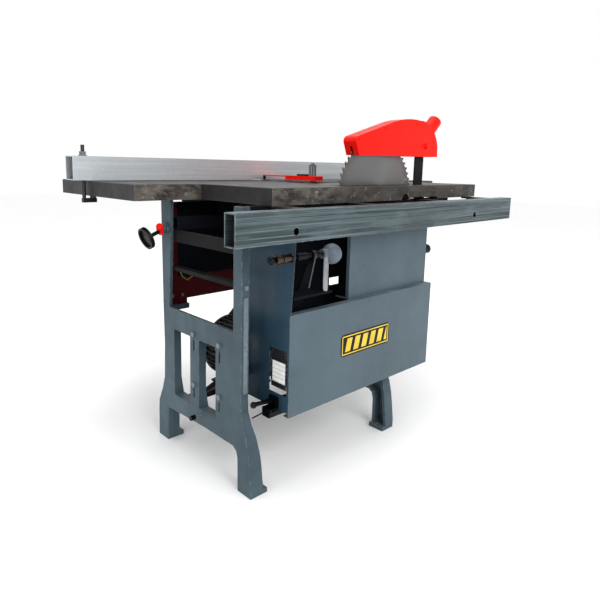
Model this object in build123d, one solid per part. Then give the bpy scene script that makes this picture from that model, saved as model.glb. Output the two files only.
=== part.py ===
"""Floor-standing combination table saw with a surface planer behind it. Millimetres, +Z up.

Sizes are laid out from the outer face of the left end frame (X = 0), the front of its upper post
(Y = 0) and the floor (Z = 0). Every part is then moved so that the origin is the middle of the
overall footprint, on the floor.
"""
import math
import os

from build123d import *

# Overall layout
ARBOR_X = 641.5
ARBOR_Z = 806.0
MIDDLE_Y = 347.5
TABLE_TOP = 850.0
TABLE_DEEP = 48.0
TABLE_UNDER = TABLE_TOP - TABLE_DEEP
OUTFEED_RISE = 3.0
SKIN = 12.0
# Saw table
SAW_LEFT = 93.0
SAW_RIGHT = 2 * ARBOR_X - SAW_LEFT
SAW_FRONT = -21.0
SAW_REAR = 310.0
# Planer tables
PLANER_LEFT = -136.0
PLANER_RIGHT = 2 * ARBOR_X - PLANER_LEFT
PLANER_FRONT = 312.0
PLANER_REAR = 850.0
# Arbor, blade and cutter block
BLADE_R = 206.0
BLADE_TEETH = 60
BLADE_Y = 55.0
BLADE_THICK = 2.6
ARBOR_R = 15.0
CUTTER_R = 45.0
KNIFE_R = 47.0
CUTTER_Y = (348.0, 816.0)
BORE_GAP = 0.3
BALL_FLAT = 0.45
BALL_REACH = math.sqrt(1 - BALL_FLAT ** 2)
# Bed beams that carry the tables
FRONT_BEAM_Y = (-8.0, 24.0)
FRONT_BEAM_Z = (726.0, 802.0)
REAR_BEAM_Y = (316.0, 356.0)
REAR_BEAM_Z = (710.0, 750.0)
BEAM_END = 1010.0
# Tube between the rear legs
STRETCHER_Y = (376.0, 402.0)
STRETCHER_Z = (102.0, 122.0)
# End frames
FRAME_RIGHT = 656.0
FRAME_WIDE = 26.0
LEG_WIDE = 44.0
TOE_LONG = 60.0
WALL = 10.0
# Rail, fence and guard
BRACKET_X = (112.0, 420.0, 800.0, 1130.0)
RAIL_X = (-137.0, 1224.0)
RAIL_Y = (-155.0, -115.0)
RAIL_Z = (723.0, 803.0)
FENCE_X = (-195.0, 2 * ARBOR_X + 195.0)
FENCE_Y = (601.0, 659.0)
FENCE_Z = (TABLE_TOP + OUTFEED_RISE, 930.0)
GUARD_Y = (28.0, 82.0)
GUARD_SHEET = 2.5
PIVOT = (895.0, 990.0)
PIVOT_R = 4.0
PIVOT_HEAD = 8.0
HEAD_GAP = 0.6
SPOUT_R = 25.0
SHEET = 2.0
# Cabinet
PANEL_X = (93.0, 774.0)
PANEL_Y = -101.0
PANEL_Z = (225.0, 516.0)
COVER_X = (354.0, 763.0)
COVER_Y = -80.0
COVER_Z = (521.0, 710.0)
# Motor
MOTOR_X = 150.0
MOTOR_Z = 338.0
MOTOR_R = 97.0
MOTOR_Y = (134.0, 244.0)
COWL_Y = 104.0
MOTOR_FOOT_Z = 236.0
BELT_Y = (252.0, 286.0)
MOTOR_PULLEY_R = 34.0
ARBOR_PULLEY_R = 21.0
# Stand of the planer guard
BRIDGE_AT = (563.0, 284.0)
# Adjusting spindle beside the rail
SPINDLE_Y = -97.0
SPINDLE_Z = 672.0

NODES = {}


def block(x, y, z):
    """A box from three (low, high) pairs."""
    size = [b - a for a, b in (x, y, z)]
    middle = [(a + b) / 2 for a, b in (x, y, z)]
    return Pos(*middle) * Box(*size)


def rod(start, end, radius):
    """A round bar between two points."""
    run = Vector(*end) - Vector(*start)
    plane = Plane(origin=start, z_dir=run.normalized())
    return plane * Cylinder(radius, run.length, align=(Align.CENTER, Align.CENTER, Align.MIN))


def cone(start, end, radius, end_radius):
    run = Vector(*end) - Vector(*start)
    plane = Plane(origin=start, z_dir=run.normalized())
    return plane * Cone(radius, end_radius, run.length, align=(Align.CENTER, Align.CENTER, Align.MIN))


def ball(at, way, radius):
    """A turned ball with a small flat at each end along the given direction."""
    flat = BALL_FLAT * radius
    reach = BALL_REACH * radius
    ends = Polyline((flat, reach), (0, reach), (0, -reach), (flat, -reach))
    side = ThreePointArc((flat, -reach), (radius, 0), (flat, reach))
    face = make_face(Wire([*ends.edges(), *side.edges()]))
    plane = Plane(origin=at, z_dir=Vector(*way).normalized())
    return plane * revolve(Plane.XZ * face, Axis.Z)


def hexagon(start, end, across_flats):
    """A hexagonal head or nut between two points."""
    run = Vector(*end) - Vector(*start)
    plane = Plane(origin=start, z_dir=run.normalized())
    return plane * extrude(RegularPolygon(across_flats / math.sqrt(3), 6), run.length)


def plate_x(points, x):
    """An outline of (y, z) points given thickness along X."""
    face = make_face(Polyline(*points, close=True))
    return extrude(Plane.YZ.offset(x[0]) * face, x[1] - x[0])


def plate_y(points, y):
    """An outline of (x, z) points given thickness along Y."""
    face = make_face(Polyline(*points, close=True))
    return extrude(Plane.XZ.offset(-y[1]) * face, y[1] - y[0])


def bolt(seat, direction, size, head=None, shank=0.0):
    """A hexagon bolt: head standing on the seat, shank going back into it."""
    way = Vector(*direction)
    at = Vector(*seat)
    body = hexagon(tuple(at), tuple(at + way * (head or size * 0.6)), size * 1.6)
    if shank:
        body += rod(tuple(at), tuple(at - way * shank), size / 2)
    return body


def add(name, *solids):
    NODES[name] = list(solids)


# ---------------------------------------------------------------- end frames

def leg_outline():
    """The cast end frame seen from its side: posts, flared feet and the crossing rail."""
    return [(-10, TABLE_UNDER), (-10, 285), (-11, 240), (-20, 198), (-34, 165), (-44, 125), (-51, 80),
            (-57, 30), (-57, 0), (1, 0), (3, 98), (9, 117), (24, 127), (161, 127), (366, 117), (371, 100),
            (374, 0), (431, 0), (430, 95), (427, 125), (404, 175), (391, 215), (388, 325), (393, 470),
            (398, TABLE_UNDER), (342, TABLE_UNDER), (344, 690), (356, 459), (26, 459), (26, TABLE_UNDER)]


WINDOWS = [((239, 330), (174, 393)), ((107, 192), (174, 393))]


def window_face(y, z, grow):
    w = y[1] - y[0] + 2 * grow
    h = z[1] - z[0] + 2 * grow
    return Plane.YZ * Pos((y[0] + y[1]) / 2, (z[0] + z[1]) / 2) * RectangleRounded(w, h, 3)


def end_frame():
    """Left-hand frame: web outside, flanges standing inwards, toes with anchor holes."""
    outline = Plane.YZ * make_face(Polyline(*leg_outline(), close=True))
    inner = offset(outline, amount=-WALL, kind=Kind.INTERSECTION)
    frame = extrude(outline, LEG_WIDE)
    pocket = extrude(inner, LEG_WIDE)
    for y, z in WINDOWS:
        pocket -= extrude(window_face(y, z, WALL), LEG_WIDE)
    frame -= Pos(WALL, 0, 0) * pocket
    for y, z in WINDOWS:
        frame -= extrude(window_face(y, z, 0), LEG_WIDE)
    depth = [(0, 0), (LEG_WIDE, 0), (43, 100), (39, 144), (FRAME_WIDE, 232), (FRAME_WIDE, 810), (0, 810)]
    frame &= plate_y(depth, (-60, 440))
    frame -= block((WALL, LEG_WIDE), (1, 400), (445, 810))
    frame -= block((WALL, LEG_WIDE), STRETCHER_Y, STRETCHER_Z)
    for low, high in ((350, 388), (204, 233)):
        for y in (215, 85):
            frame -= block((-1, WALL + 1), (y, y + 8), (low, high))
    for y in ((-57, 1), (374, 431)):
        frame += block((0, TOE_LONG), y, (0, 14))
        frame -= rod((TOE_LONG - 11, sum(y) / 2, -1), (TOE_LONG - 11, sum(y) / 2, 15), 5.5)
    return frame


def make_end_frames():
    left = end_frame()
    left -= rod((-1, 370, 712), (WALL + 1, 370, 712), 13)
    left += block((WALL, 94), (385, 399), (436, 452))
    add("left_end_frame", left)
    right = Pos(FRAME_RIGHT, 0, 0) * mirror(end_frame(), about=Plane.YZ)
    reach = (FRAME_RIGHT - TOE_LONG - 1, FRAME_RIGHT + 1)
    right -= block(reach, (-20, 100), (FRONT_BEAM_Z[0], 810))
    right -= block(reach, (300, 450), (REAR_BEAM_Z[1], 810))
    right -= block(reach, (300, REAR_BEAM_Y[1]), (REAR_BEAM_Z[0], 810))
    add("right_end_frame", right)


def make_fasteners():
    """Every fixed screw head that holds the frame, the sheets and the rail."""
    heads = []
    for x, way in ((0, -1), (FRAME_RIGHT, 1)):
        for y, z in ((219, 404), (217, 245), (89, 404), (88, 249)):
            heads.append(bolt((x, y, z), (way, 0, 0), 9, 6))
    heads.append(rod((0, 176, 163), (-26, 176, 163), 7))
    heads.append(bolt((13, -10, 587), (0, -1, 0), 8, 5))
    strip = block((6, 20), (-13, -10), (290, 560))
    for z in (300, 420, 545):
        strip += rod((13, -13, z), (13, -15.5, z), 3.5)
    heads.append(strip)
    for x in (38, 76, 300, 540):
        heads.append(rod((x, 399, 481), (x, 396, 481), 5))
    for x in BRACKET_X:
        heads.append(bolt((x, -30, TABLE_UNDER - 6), (0, 0, -1), 12, 8))
        heads.append(bolt((x, RAIL_Y[1] + 6, 760), (0, 1, 0), 10, 7))
    add("fasteners", *heads)


# ---------------------------------------------------------------- stretchers and bed

def square_tube(x, y, z, wall):
    outer = block(x, y, z)
    return outer - block(x, (y[0] + wall, y[1] - wall), (z[0] + wall, z[1] - wall))


def make_stretchers():
    """One tube between the rear legs and the cradle that carries the motor feet from it."""
    tube = square_tube((WALL, FRAME_RIGHT - WALL), STRETCHER_Y, STRETCHER_Z, 3)
    plate = block((MOTOR_X - 70, MOTOR_X + 70), (112, 240), (MOTOR_FOOT_Z - 6, MOTOR_FOOT_Z))
    top = MOTOR_FOOT_Z - 6
    y, z = STRETCHER_Y[0], STRETCHER_Z
    outline = [(112, top), (240, top), (y, z[1]), (y, z[0] + 2), (236, top - 18), (112, top - 18)]
    for x in (MOTOR_X - 46, MOTOR_X + 38):
        plate += plate_x(outline, (x, x + 8))
    add("stretchers", tube + plate)


def make_tension_rod():
    """Ball-ended rod under the left side sheet that tilts the motor to tighten the belts."""
    y = -45
    bar = rod((24, y, 268), (150, y, 259), 6)
    whole = bar + block((84, PANEL_X[0]), (y - 17, y + 15), (226, 274)) 
    whole += block((60, 84), (y - 17, y + 15), (226, 246)) + block((60, 150), (y - 15, y + 13), (221, 235))
    whole += rod((12, y, 232), (60, y, 237), 2)
    for x in (62, 76):
        whole += rod((x, y - 17, 238), (x, y - 21, 238), 4)
    tip = ball((24 - 9 * BALL_REACH, y, 268), (1, 0, 0), 9)
    add("tension_rod", whole, tip, rod((-42, 176, 163), (-26, 176, 163), 7.5))


def make_bed():
    front = square_tube((FRAME_WIDE, BEAM_END), FRONT_BEAM_Y, FRONT_BEAM_Z, 4)
    rear = square_tube((WALL, BEAM_END), REAR_BEAM_Y, REAR_BEAM_Z, 4)
    saddle = block((ARBOR_X - 32, ARBOR_X + 32), (316, 344), (REAR_BEAM_Z[1], ARBOR_Z - 30))
    seats = [block((x, x + 60), (318, 350), (REAR_BEAM_Z[1], top)) for x, top in (
        (180, TABLE_UNDER), (480, TABLE_UNDER), (740, TABLE_UNDER + OUTFEED_RISE),
        (940, TABLE_UNDER + OUTFEED_RISE))]
    add("bed_beams", front, sum(seats, rear + saddle))
    for name, x, top in (("infeed", 330, TABLE_UNDER), ("outfeed", 920, TABLE_UNDER + OUTFEED_RISE)):
        outline = [(356, 640), (366, 640), (800, 760), (800, top), (356, top)]
        arm = plate_x(outline, (x, x + 8)) + block((x - 20, x + 28), (356, 800), (top - 8, top))
        add(name + "_arm", arm)


def make_cross_bars():
    """Dark bars across the inside of the left end frame."""
    across = (2, 352)
    upper = block((WALL, WALL + 12), across, (672, 708))
    lower = block((WALL, WALL + 3), across, (580, 592)) + block((WALL, WALL + 24), across, (589, 592))
    add("cross_bars", upper, lower)


# ---------------------------------------------------------------- sheet metal

def make_rear_panel():
    """The red sheet behind the works, cut down where the cutter block passes over it."""
    x = (WALL, PANEL_X[1] - SHEET)
    panel = block(x, (399, 401), (469, 790)) + block(x, (399, 412), (467, 469))
    panel -= block((570, x[1] + 1), (398, 402), (REAR_BEAM_Z[1], 791))
    panel -= block((309, 359), (398, 402), (630, 791))
    for left in (200, 520):
        panel += block((left, left + 30), (REAR_BEAM_Y[1], 399), (715, 745))
    panel += block((x[0], 92), (399, 401), (452, 470)) + block((60, 92), (395, 399), (452, 474))
    panel += block((x[0], x[0] + SHEET), (385, 399), (470, 790))
    add("rear_panel", panel)


def make_inner_sheets():
    """Dark sheets and brackets inside the frame: belt screen, recess back, shelf and strut."""
    screen = block((59, 568), (396, 399), (545, 788))
    for left in (200, 520):
        screen -= block((left - 1, left + 31), (395, 400), (714, 746))
    screen -= block((308, 360), (395, 400), (630, 789))
    recess = block((PANEL_X[0] + SHEET, 590), (22, 24), (440, FRONT_BEAM_Z[0]))
    recess -= block((380, 426), (21, 25), (538, 562))
    shelf = block((PANEL_X[0] + SHEET, 246), (COVER_Y - 30, -50), (560, 566))
    shelf += plate_y([(196, 640), (226, 640), (172, 522), (138, 522)], (-60, -54))
    shelf += block((150, 170), (-54, 22), (522, 534))
    add("inner_sheets", screen, recess, shelf)


def make_side_sheet():
    """The left side leans forward to the rail above the panel."""
    x = (PANEL_X[0], PANEL_X[0] + SHEET)
    top = FRONT_BEAM_Z[0]
    outline = [(PANEL_Y + SHEET, 238), (100, 238), (100, top), (-114, top), (-114, 700), (-104, 533),
               (PANEL_Y + SHEET, PANEL_Z[1])]
    left = plate_x(outline, x) - block((x[0] - 1, x[1] + 1), (-92, -21), (284, 412))
    left -= rod((x[0] - 1, SPINDLE_Y, SPINDLE_Z), (x[1] + 1, SPINDLE_Y, SPINDLE_Z), 12.3)
    left -= rod((x[0] - 1, -45, 263), (x[1] + 1, -45, 263), 7)
    left += block((WALL, x[0]), (84, 96), (290, 320))
    add("left_side_sheet", left)


def make_front_panel():
    x, z = PANEL_X, PANEL_Z
    y = (PANEL_Y, PANEL_Y + SHEET)
    panel = block(x, y, z)
    panel += block((x[0] + SHEET, x[1] - SHEET), (PANEL_Y, PANEL_Y + 22), (z[1] - SHEET, z[1]))
    panel += block((x[0] + SHEET, x[1] - SHEET), (PANEL_Y, PANEL_Y + 22), (z[0], z[0] + SHEET))
    panel += block((x[1] - SHEET, x[1]), (PANEL_Y + SHEET, 27.5), (238, z[1]))
    panel = fillet(panel.edges().filter_by(Axis.X).group_by(Axis.Y)[0], 1.2)
    add("front_panel", panel)
    badge = block((304, 538), (PANEL_Y - 1.2, PANEL_Y), (351, 418))
    add("badge_plate", fillet(badge.edges().filter_by(Axis.Y), 10))


def make_cover():
    x, z = COVER_X, COVER_Z
    cover = block(x, (COVER_Y, COVER_Y + SHEET), z)
    cover += block((x[0], x[0] + SHEET), (COVER_Y, COVER_Y + 12), z)
    cover += block((x[1] - SHEET, x[1]), (COVER_Y, COVER_Y + 50), z)
    cover += block(x, (COVER_Y, COVER_Y + 50), (z[1] - SHEET, z[1]))
    cover += block((x[1] - SHEET, PANEL_X[1] - SHEET), (COVER_Y + 30, COVER_Y + 32), z)
    cover -= rod((x[1] - 3, -64, 630), (x[1] + 1, -64, 630), 4.5)
    foot = block((x[0], x[1]), (COVER_Y, COVER_Y + 50), (PANEL_Z[1], z[0]))
    cover += foot - block((x[0] + 2, x[1] - 2), (COVER_Y + 2, COVER_Y + 51), (z[0] - 6, z[0] + 1))
    add("upper_cover", cover)
    knob = rod((x[1] + 1, -64, 630), (x[1] + 7, -64, 630), 9)
    knob += cone((x[1] + 7, -64, 630), (x[1] + 26, -64, 630), 13, 16)
    knob += rod((x[1] + 26, -64, 630), (x[1] + 30, -64, 630), 16)
    knob += rod((x[1] - 20, -64, 630), (x[1] + 1, -64, 630), 4)
    add("cover_knob", knob)


# ---------------------------------------------------------------- tables

def ribbed_table(x, y, top, ribs_x, ribs_y):
    """A cast table: skin on top, skirt all round and ribs underneath."""
    table = block(x, y, (top - TABLE_DEEP, top))
    edges_x = [x[0] + SKIN] + [v for r in ribs_x for v in (r - 5, r + 5)] + [x[1] - SKIN]
    edges_y = [y[0] + SKIN] + [v for r in ribs_y for v in (r - 5, r + 5)] + [y[1] - SKIN]
    for i in range(0, len(edges_x), 2):
        for j in range(0, len(edges_y), 2):
            cell = ((edges_x[i], edges_x[i + 1]), (edges_y[j], edges_y[j + 1]))
            table -= block(*cell, (top - TABLE_DEEP, top - SKIN))
    return table


def make_saw_table():
    x, y = (SAW_LEFT, SAW_RIGHT), (SAW_FRONT, SAW_REAR)
    table = ribbed_table(x, y, TABLE_TOP, (210, 325, 410, 940, 1065), (160,))
    table = chamfer(table.edges().group_by(Axis.Z)[-1], 1.5)
    opening = ((430, 853), (18, 92))
    table -= block(*opening, (TABLE_TOP - 40, TABLE_TOP + 1))
    table += block((418, 432), (20, 90), (TABLE_TOP - 24, TABLE_TOP - 4))
    table += block((851, 862), (20, 90), (TABLE_TOP - 24, TABLE_TOP - 4))
    table -= block((430, 856), (16, 94), (TABLE_TOP - 4, TABLE_TOP + 1))
    table -= block((ARBOR_X - 90, ARBOR_X + 34), (154, SAW_REAR + 1), (TABLE_UNDER - 1, TABLE_TOP - SKIN))
    table -= block((864, 924), (BLADE_Y - 5, BLADE_Y + 5), (TABLE_TOP - SKIN - 1, TABLE_TOP + 1))
    skirt = (SAW_FRONT - 1, SAW_FRONT + SKIN + 1)
    table -= rod((709, skirt[0], TABLE_UNDER), (709, skirt[1], TABLE_UNDER), 20)
    table -= block((739, 912), skirt, (TABLE_UNDER - 1, TABLE_UNDER + 8))
    add("saw_table", table)


def make_table_insert():
    insert = block((430.5, 855.5), (16.5, 93.5), (TABLE_TOP - 4, TABLE_TOP))
    insert -= block((432, 851), (BLADE_Y - 5, BLADE_Y + 5), (TABLE_TOP - 5, TABLE_TOP + 1))
    for x in (438, 844):
        for y in (26, 84):
            insert -= cone((x, y, TABLE_TOP - 4), (x, y, TABLE_TOP + 0.1), 2.2, 5)
    add("table_insert", insert)


def planer_table(x, top, ribs_x):
    table = ribbed_table(x, (PLANER_FRONT, PLANER_REAR), top, ribs_x, (445, 590, 720))
    table = chamfer(table.edges().group_by(Axis.Z)[-1], 1.5)
    return table


def lip(x, top):
    """The solid end next to the cutter block, hollowed to clear it."""
    end = block(x, (PLANER_FRONT, PLANER_REAR), (top - TABLE_DEEP, top))
    end -= rod((ARBOR_X, PLANER_FRONT - 1, ARBOR_Z), (ARBOR_X, PLANER_REAR + 1, ARBOR_Z), KNIFE_R + 5)
    return end


def make_planer_tables():
    infeed = planer_table((PLANER_LEFT, ARBOR_X - 64), TABLE_TOP, (40, 216, 392))
    infeed += lip((ARBOR_X - 66, ARBOR_X - 30), TABLE_TOP)
    add("infeed_table", infeed)
    rise = TABLE_TOP + OUTFEED_RISE
    outfeed = planer_table((ARBOR_X + 64, PLANER_RIGHT), rise, (891, 1067, 1243))
    outfeed += lip((ARBOR_X + 30, ARBOR_X + 66), rise)
    add("outfeed_table", outfeed)


# ---------------------------------------------------------------- arbor and cutter block

def ring_y(radius, y, hole=0.0):
    disc = rod((ARBOR_X, y[0], ARBOR_Z), (ARBOR_X, y[1], ARBOR_Z), radius)
    if hole:
        disc -= rod((ARBOR_X, y[0] - 1, ARBOR_Z), (ARBOR_X, y[1] + 1, ARBOR_Z), hole)
    return disc


def make_blade():
    """Steel disc with gullets, expansion slots and carbide-tipped teeth."""
    step = 2 * math.pi / BLADE_TEETH
    points = []
    for i in range(BLADE_TEETH):
        for part, deep in ((0, 0), (0.22, 1.5), (0.55, 10), (0.95, 10)):
            angle = (i + part) * step
            points.append(((BLADE_R - deep) * math.cos(angle), (BLADE_R - deep) * math.sin(angle)))
    face = make_face(Polyline(*points, close=True)) - Circle(ARBOR_R)
    for i in range(4):
        slot = Rot(0, 0, 90 * i + 20) * Pos(BLADE_R - 30, 0) * (Rectangle(34, 2) + Pos(-17, 0) * Circle(4))
        face -= slot
    disc = extrude(face, BLADE_THICK)
    plane = Plane(origin=(ARBOR_X, BLADE_Y + BLADE_THICK / 2, ARBOR_Z), x_dir=(1, 0, 0), z_dir=(0, -1, 0))
    add("saw_blade", plane * disc)


def make_arbor():
    shaft = ring_y(ARBOR_R, (27, 350)) + ring_y(ARBOR_R + 7, (66, 96))
    shaft += ring_y(ARBOR_R, (814, 846))
    half = BLADE_THICK / 2
    flanges = [ring_y(34, (BLADE_Y - half - 8, BLADE_Y - half), ARBOR_R),
               ring_y(34, (BLADE_Y + half, 66), ARBOR_R)]
    nut_y = BLADE_Y - half - 8
    nut = hexagon((ARBOR_X, nut_y - 16, ARBOR_Z), (ARBOR_X, nut_y, ARBOR_Z), 42)
    add("blade_flanges", *flanges, nut - ring_y(ARBOR_R, (20, 60)))
    pulley = ring_y(ARBOR_PULLEY_R + 5, BELT_Y, ARBOR_R)
    for y in groove_middles():
        pulley -= groove(ARBOR_X, ARBOR_Z, ARBOR_PULLEY_R, ARBOR_PULLEY_R + 6, y)
    add("arbor_shaft", *shaft.solids(), pulley)


def groove_middles():
    return (BELT_Y[0] + 9, BELT_Y[1] - 9)


def groove(x, z, inner, outer, y):
    """A plain belt groove round a pulley."""
    cut = rod((x, y - 6, z), (x, y + 6, z), outer + 4)
    return cut - rod((x, y - 7, z), (x, y + 7, z), inner)


def make_cutter_block():
    body = ring_y(CUTTER_R, CUTTER_Y)
    slots = []
    for i in range(3):
        turn = Pos(ARBOR_X, 0, ARBOR_Z) * Rot(0, 120 * i + 40, 0) * Pos(-ARBOR_X, 0, -ARBOR_Z)
        slots.append(turn * block((ARBOR_X + 26, ARBOR_X + 50), CUTTER_Y, (ARBOR_Z - 1.5, ARBOR_Z + 11)))
    for s in slots:
        body -= s
    body -= ring_y(ARBOR_R, (CUTTER_Y[0], 350))
    body -= ring_y(ARBOR_R, (814, CUTTER_Y[1]))
    knives, wedges = [], []
    for i in range(3):
        turn = Pos(ARBOR_X, 0, ARBOR_Z) * Rot(0, 120 * i + 40, 0) * Pos(-ARBOR_X, 0, -ARBOR_Z)
        knife = block((ARBOR_X + 26, ARBOR_X + 46.8), CUTTER_Y, (ARBOR_Z - 1.5, ARBOR_Z + 1.5))
        knives.append(turn * knife)
        wedge = block((ARBOR_X + 26, ARBOR_X + 42), CUTTER_Y, (ARBOR_Z + 1.5, ARBOR_Z + 11))
        wedges.append(turn * wedge)
    add("cutter_block", body, *wedges)
    add("planer_knives", *knives)


def bearing_block(y, z_top):
    """A pedestal bearing hung under the casting."""
    housing = block((ARBOR_X - 32, ARBOR_X + 32), y, (ARBOR_Z - 30, z_top))
    housing = fillet(housing.edges().filter_by(Axis.Y).group_by(Axis.Z)[0], 20)
    return housing - ring_y(ARBOR_R + BORE_GAP, (y[0] - 1, y[1] + 1))


def make_bearings():
    add("front_bearing", bearing_block((104, 150), TABLE_TOP - SKIN))
    add("middle_bearing", bearing_block((316, 344), TABLE_UNDER + 22))
    rear = bearing_block((820, 842), TABLE_UNDER + 22)
    rear += block((ARBOR_X + 30, ARBOR_X + 100), (820, 838), (790, TABLE_UNDER + OUTFEED_RISE))
    add("rear_bearing", rear - ring_y(ARBOR_R + BORE_GAP, (810, 850)))


# ---------------------------------------------------------------- motor and drive

def motor_rod(start, end, radius):
    return rod((MOTOR_X, start, MOTOR_Z), (MOTOR_X, end, MOTOR_Z), radius)


def make_motor():
    y0, y1 = MOTOR_Y
    body = motor_rod(y0, y1, MOTOR_R - 8)
    for i in range(36):
        fin = block((MOTOR_R - 10, MOTOR_R), (y0 + 12, y1 - 12), (-1.5, 1.5))
        body += Pos(MOTOR_X, 0, MOTOR_Z) * Rot(0, 10 * i, 0) * fin
    body += motor_rod(y0, y0 + 12, MOTOR_R) + motor_rod(y1 - 12, y1, MOTOR_R)
    for y in ((y0, y0 + 24), (y1 - 30, y1 - 6)):
        body += block((MOTOR_X - 46, MOTOR_X + 46), y, (MOTOR_FOOT_Z, MOTOR_Z - 60))
    body -= motor_rod(y0 - 1, y1 + 1, 12 + BORE_GAP)
    cowl = motor_rod(COWL_Y, y0, MOTOR_R - 2) - motor_rod(COWL_Y + 2, y0 + 1, MOTOR_R - 4)
    for i in range(24):
        a = math.radians(15 * i)
        for r in (40, 62):
            x, z = MOTOR_X + r * math.cos(a), MOTOR_Z + r * math.sin(a)
            cowl -= rod((x, COWL_Y - 1, z), (x, COWL_Y + 3, z), 4)
    add("motor_body", body, cowl)
    fan = motor_rod(COWL_Y + 8, COWL_Y + 26, 20)
    for i in range(8):
        wing = block((16, 78), (COWL_Y + 12, COWL_Y + 26), (-1.5, 1.5))
        fan += Pos(MOTOR_X, 0, MOTOR_Z) * Rot(0, 45 * i, 0) * wing
    fan -= motor_rod(COWL_Y, y0, 12)
    add("motor_rotor", motor_rod(COWL_Y + 6, BELT_Y[1] + 4, 12) + fan)
    pulley = motor_rod(*BELT_Y, MOTOR_PULLEY_R + 5) - motor_rod(BELT_Y[0] - 1, BELT_Y[1] + 1, 12)
    for y in groove_middles():
        pulley -= groove(MOTOR_X, MOTOR_Z, MOTOR_PULLEY_R, MOTOR_PULLEY_R + 6, y)
    add("motor_pulley", pulley)


def belt_loop(y, near, far):
    """A belt round both pulleys as a closed band."""
    reach = math.hypot(ARBOR_X - MOTOR_X, ARBOR_Z - MOTOR_Z)
    lean = math.degrees(math.atan2(ARBOR_Z - MOTOR_Z, ARBOR_X - MOTOR_X))

    def hull(r0, r1, width):
        a = math.acos((r0 - r1) / reach)
        p0 = (r0 * math.cos(a), r0 * math.sin(a))
        p1 = (reach + r1 * math.cos(a), r1 * math.sin(a))
        q0, q1 = (p0[0], -p0[1]), (p1[0], -p1[1])
        face = make_face(Polyline(p0, p1, q1, q0, close=True)) + Circle(r0) + Pos(reach, 0) * Circle(r1)
        return extrude(face, width)
    band = hull(near + 8, far + 8, 10) - Pos(0, 0, -1) * hull(near, far, 12)
    plane = Plane(origin=(MOTOR_X, y + 5, MOTOR_Z), x_dir=(1, 0, 0), z_dir=(0, -1, 0))
    return plane * (Rot(0, 0, lean) * band)


def make_belts():
    gap = BORE_GAP + 0.2
    belts = [belt_loop(y, MOTOR_PULLEY_R + gap, ARBOR_PULLEY_R + gap) for y in groove_middles()]
    add("drive_belts", *belts)


def make_switch_box():
    box = block((98, 180), (-91, -22), (312, 415))
    box = fillet(box.edges().filter_by(Axis.X), 6)
    box += block((95, 98), (-86, -27), (300, 402)) + block((95, 98), (-82, -30), (402, 420))
    add("data_plate", block((94.2, 95), (-84, -33), (316, 376)))
    add("switch_box", box)


# ---------------------------------------------------------------- spindle group

def make_spindle():
    y, z = SPINDLE_Y, SPINDLE_Z
    spindle = rod((24 + 11 * BALL_REACH, y, z), (206, y, z), 7) + rod((184, y, z), (190, y, z), 11)
    spindle += rod((112, y, z), (146, y, z), 10.5)
    add("adjusting_spindle", spindle, ball((24, y, z), (1, 0, 0), 11))
    bush = rod((37, y, z), (45, y, z), 13) + rod((45, y, z), (60, y, z), 11)
    bush += rod((60, y, z), (67, y, z), 13) + rod((67, y, z), (99, y, z), 10.5)
    add("spindle_bush", bush - rod((30, y, z), (100, y, z), 7 + BORE_GAP))
    hub = rod((170, y, z), (180, y, z), 13) - rod((169, y, z), (181, y, z), 7 + BORE_GAP)
    arm = rod((175, y - 10, z - 4), (138, y - 24, z - 82), 3)
    add("spindle_lever", hub + arm)
    globe = Pos(252, y, z - 4) * Sphere(29)
    neck = rod((212, y, z), (240, y, z), 13)
    bore = rod((200, y, z), (241, y, z), 7 + BORE_GAP)
    add("cast_head", globe - bore, neck - globe - bore)
    add("guide_column", rod((226, y, 566), (226, y, z - 4), 10.5) - neck - globe)


# ---------------------------------------------------------------- rail and fence

def make_rail():
    rail = square_tube(RAIL_X, RAIL_Y, RAIL_Z, 3)
    for x in (54, 943):
        rail -= rod((x, RAIL_Y[0] - 1, 750), (x, RAIL_Y[0] + 4, 750), 10)
    add("front_rail", rail)
    brackets = []
    for x in BRACKET_X:
        plate = block((x - 20, x + 20), (RAIL_Y[1], -8), (TABLE_UNDER - 6, TABLE_UNDER))
        plate += block((x - 20, x + 20), (RAIL_Y[1], RAIL_Y[1] + 6), (740, TABLE_UNDER))
        brackets.append(plate)
    add("rail_brackets", *brackets)


def make_fence():
    fence = square_tube(FENCE_X, FENCE_Y, FENCE_Z, 3)
    for x in stud_places():
        fence -= rod((x, 630, 840), (x, 630, 940), 6.5)
    add("fence_tube", fence)


def stud_places():
    return (PLANER_LEFT - 14, PLANER_RIGHT + 14)


def make_clamps():
    for name, x, way, under in (("left", stud_places()[0], 1, TABLE_UNDER),
                                ("right", stud_places()[1], -1, TABLE_UNDER + OUTFEED_RISE)):
        stud = rod((x, 630, under - 14), (x, 630, 966), 6)
        foot = block(sorted_pair(x - 6 * way, x + 40 * way), (622, 638), (under - 22, under - 8))
        pad = rod((x + 30 * way, 630, under - 8), (x + 30 * way, 630, under), 10)
        add(name + "_clamp_hook", stud + foot, pad)
        washer = rod((x, 630, FENCE_Z[1]), (x, 630, FENCE_Z[1] + 3), 14)
        nut = washer + hexagon((x, 630, FENCE_Z[1] + 3), (x, 630, FENCE_Z[1] + 15), 20)
        add(name + "_clamp_nut", nut - rod((x, 630, 920), (x, 630, 950), 6 + BORE_GAP))


def sorted_pair(a, b):
    return (min(a, b), max(a, b))


# ---------------------------------------------------------------- guard

def guard_outline():
    """The hood's side view, nose at the feed end and a curved back."""
    low = Polyline((493, 990), (510, 948), (974, 953), (973, 990))
    back = ThreePointArc((973, 990), (940, 1047), (850, 1079))
    top = ThreePointArc((850, 1079), (770, 1079), (690, 1064))
    front = Polyline((690, 1064), (507, 1010))
    nose = ThreePointArc((507, 1010), (496, 1003), (493, 990))
    return make_face(Wire([*low.edges(), *back.edges(), *top.edges(), *front.edges(), *nose.edges()]))


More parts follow.
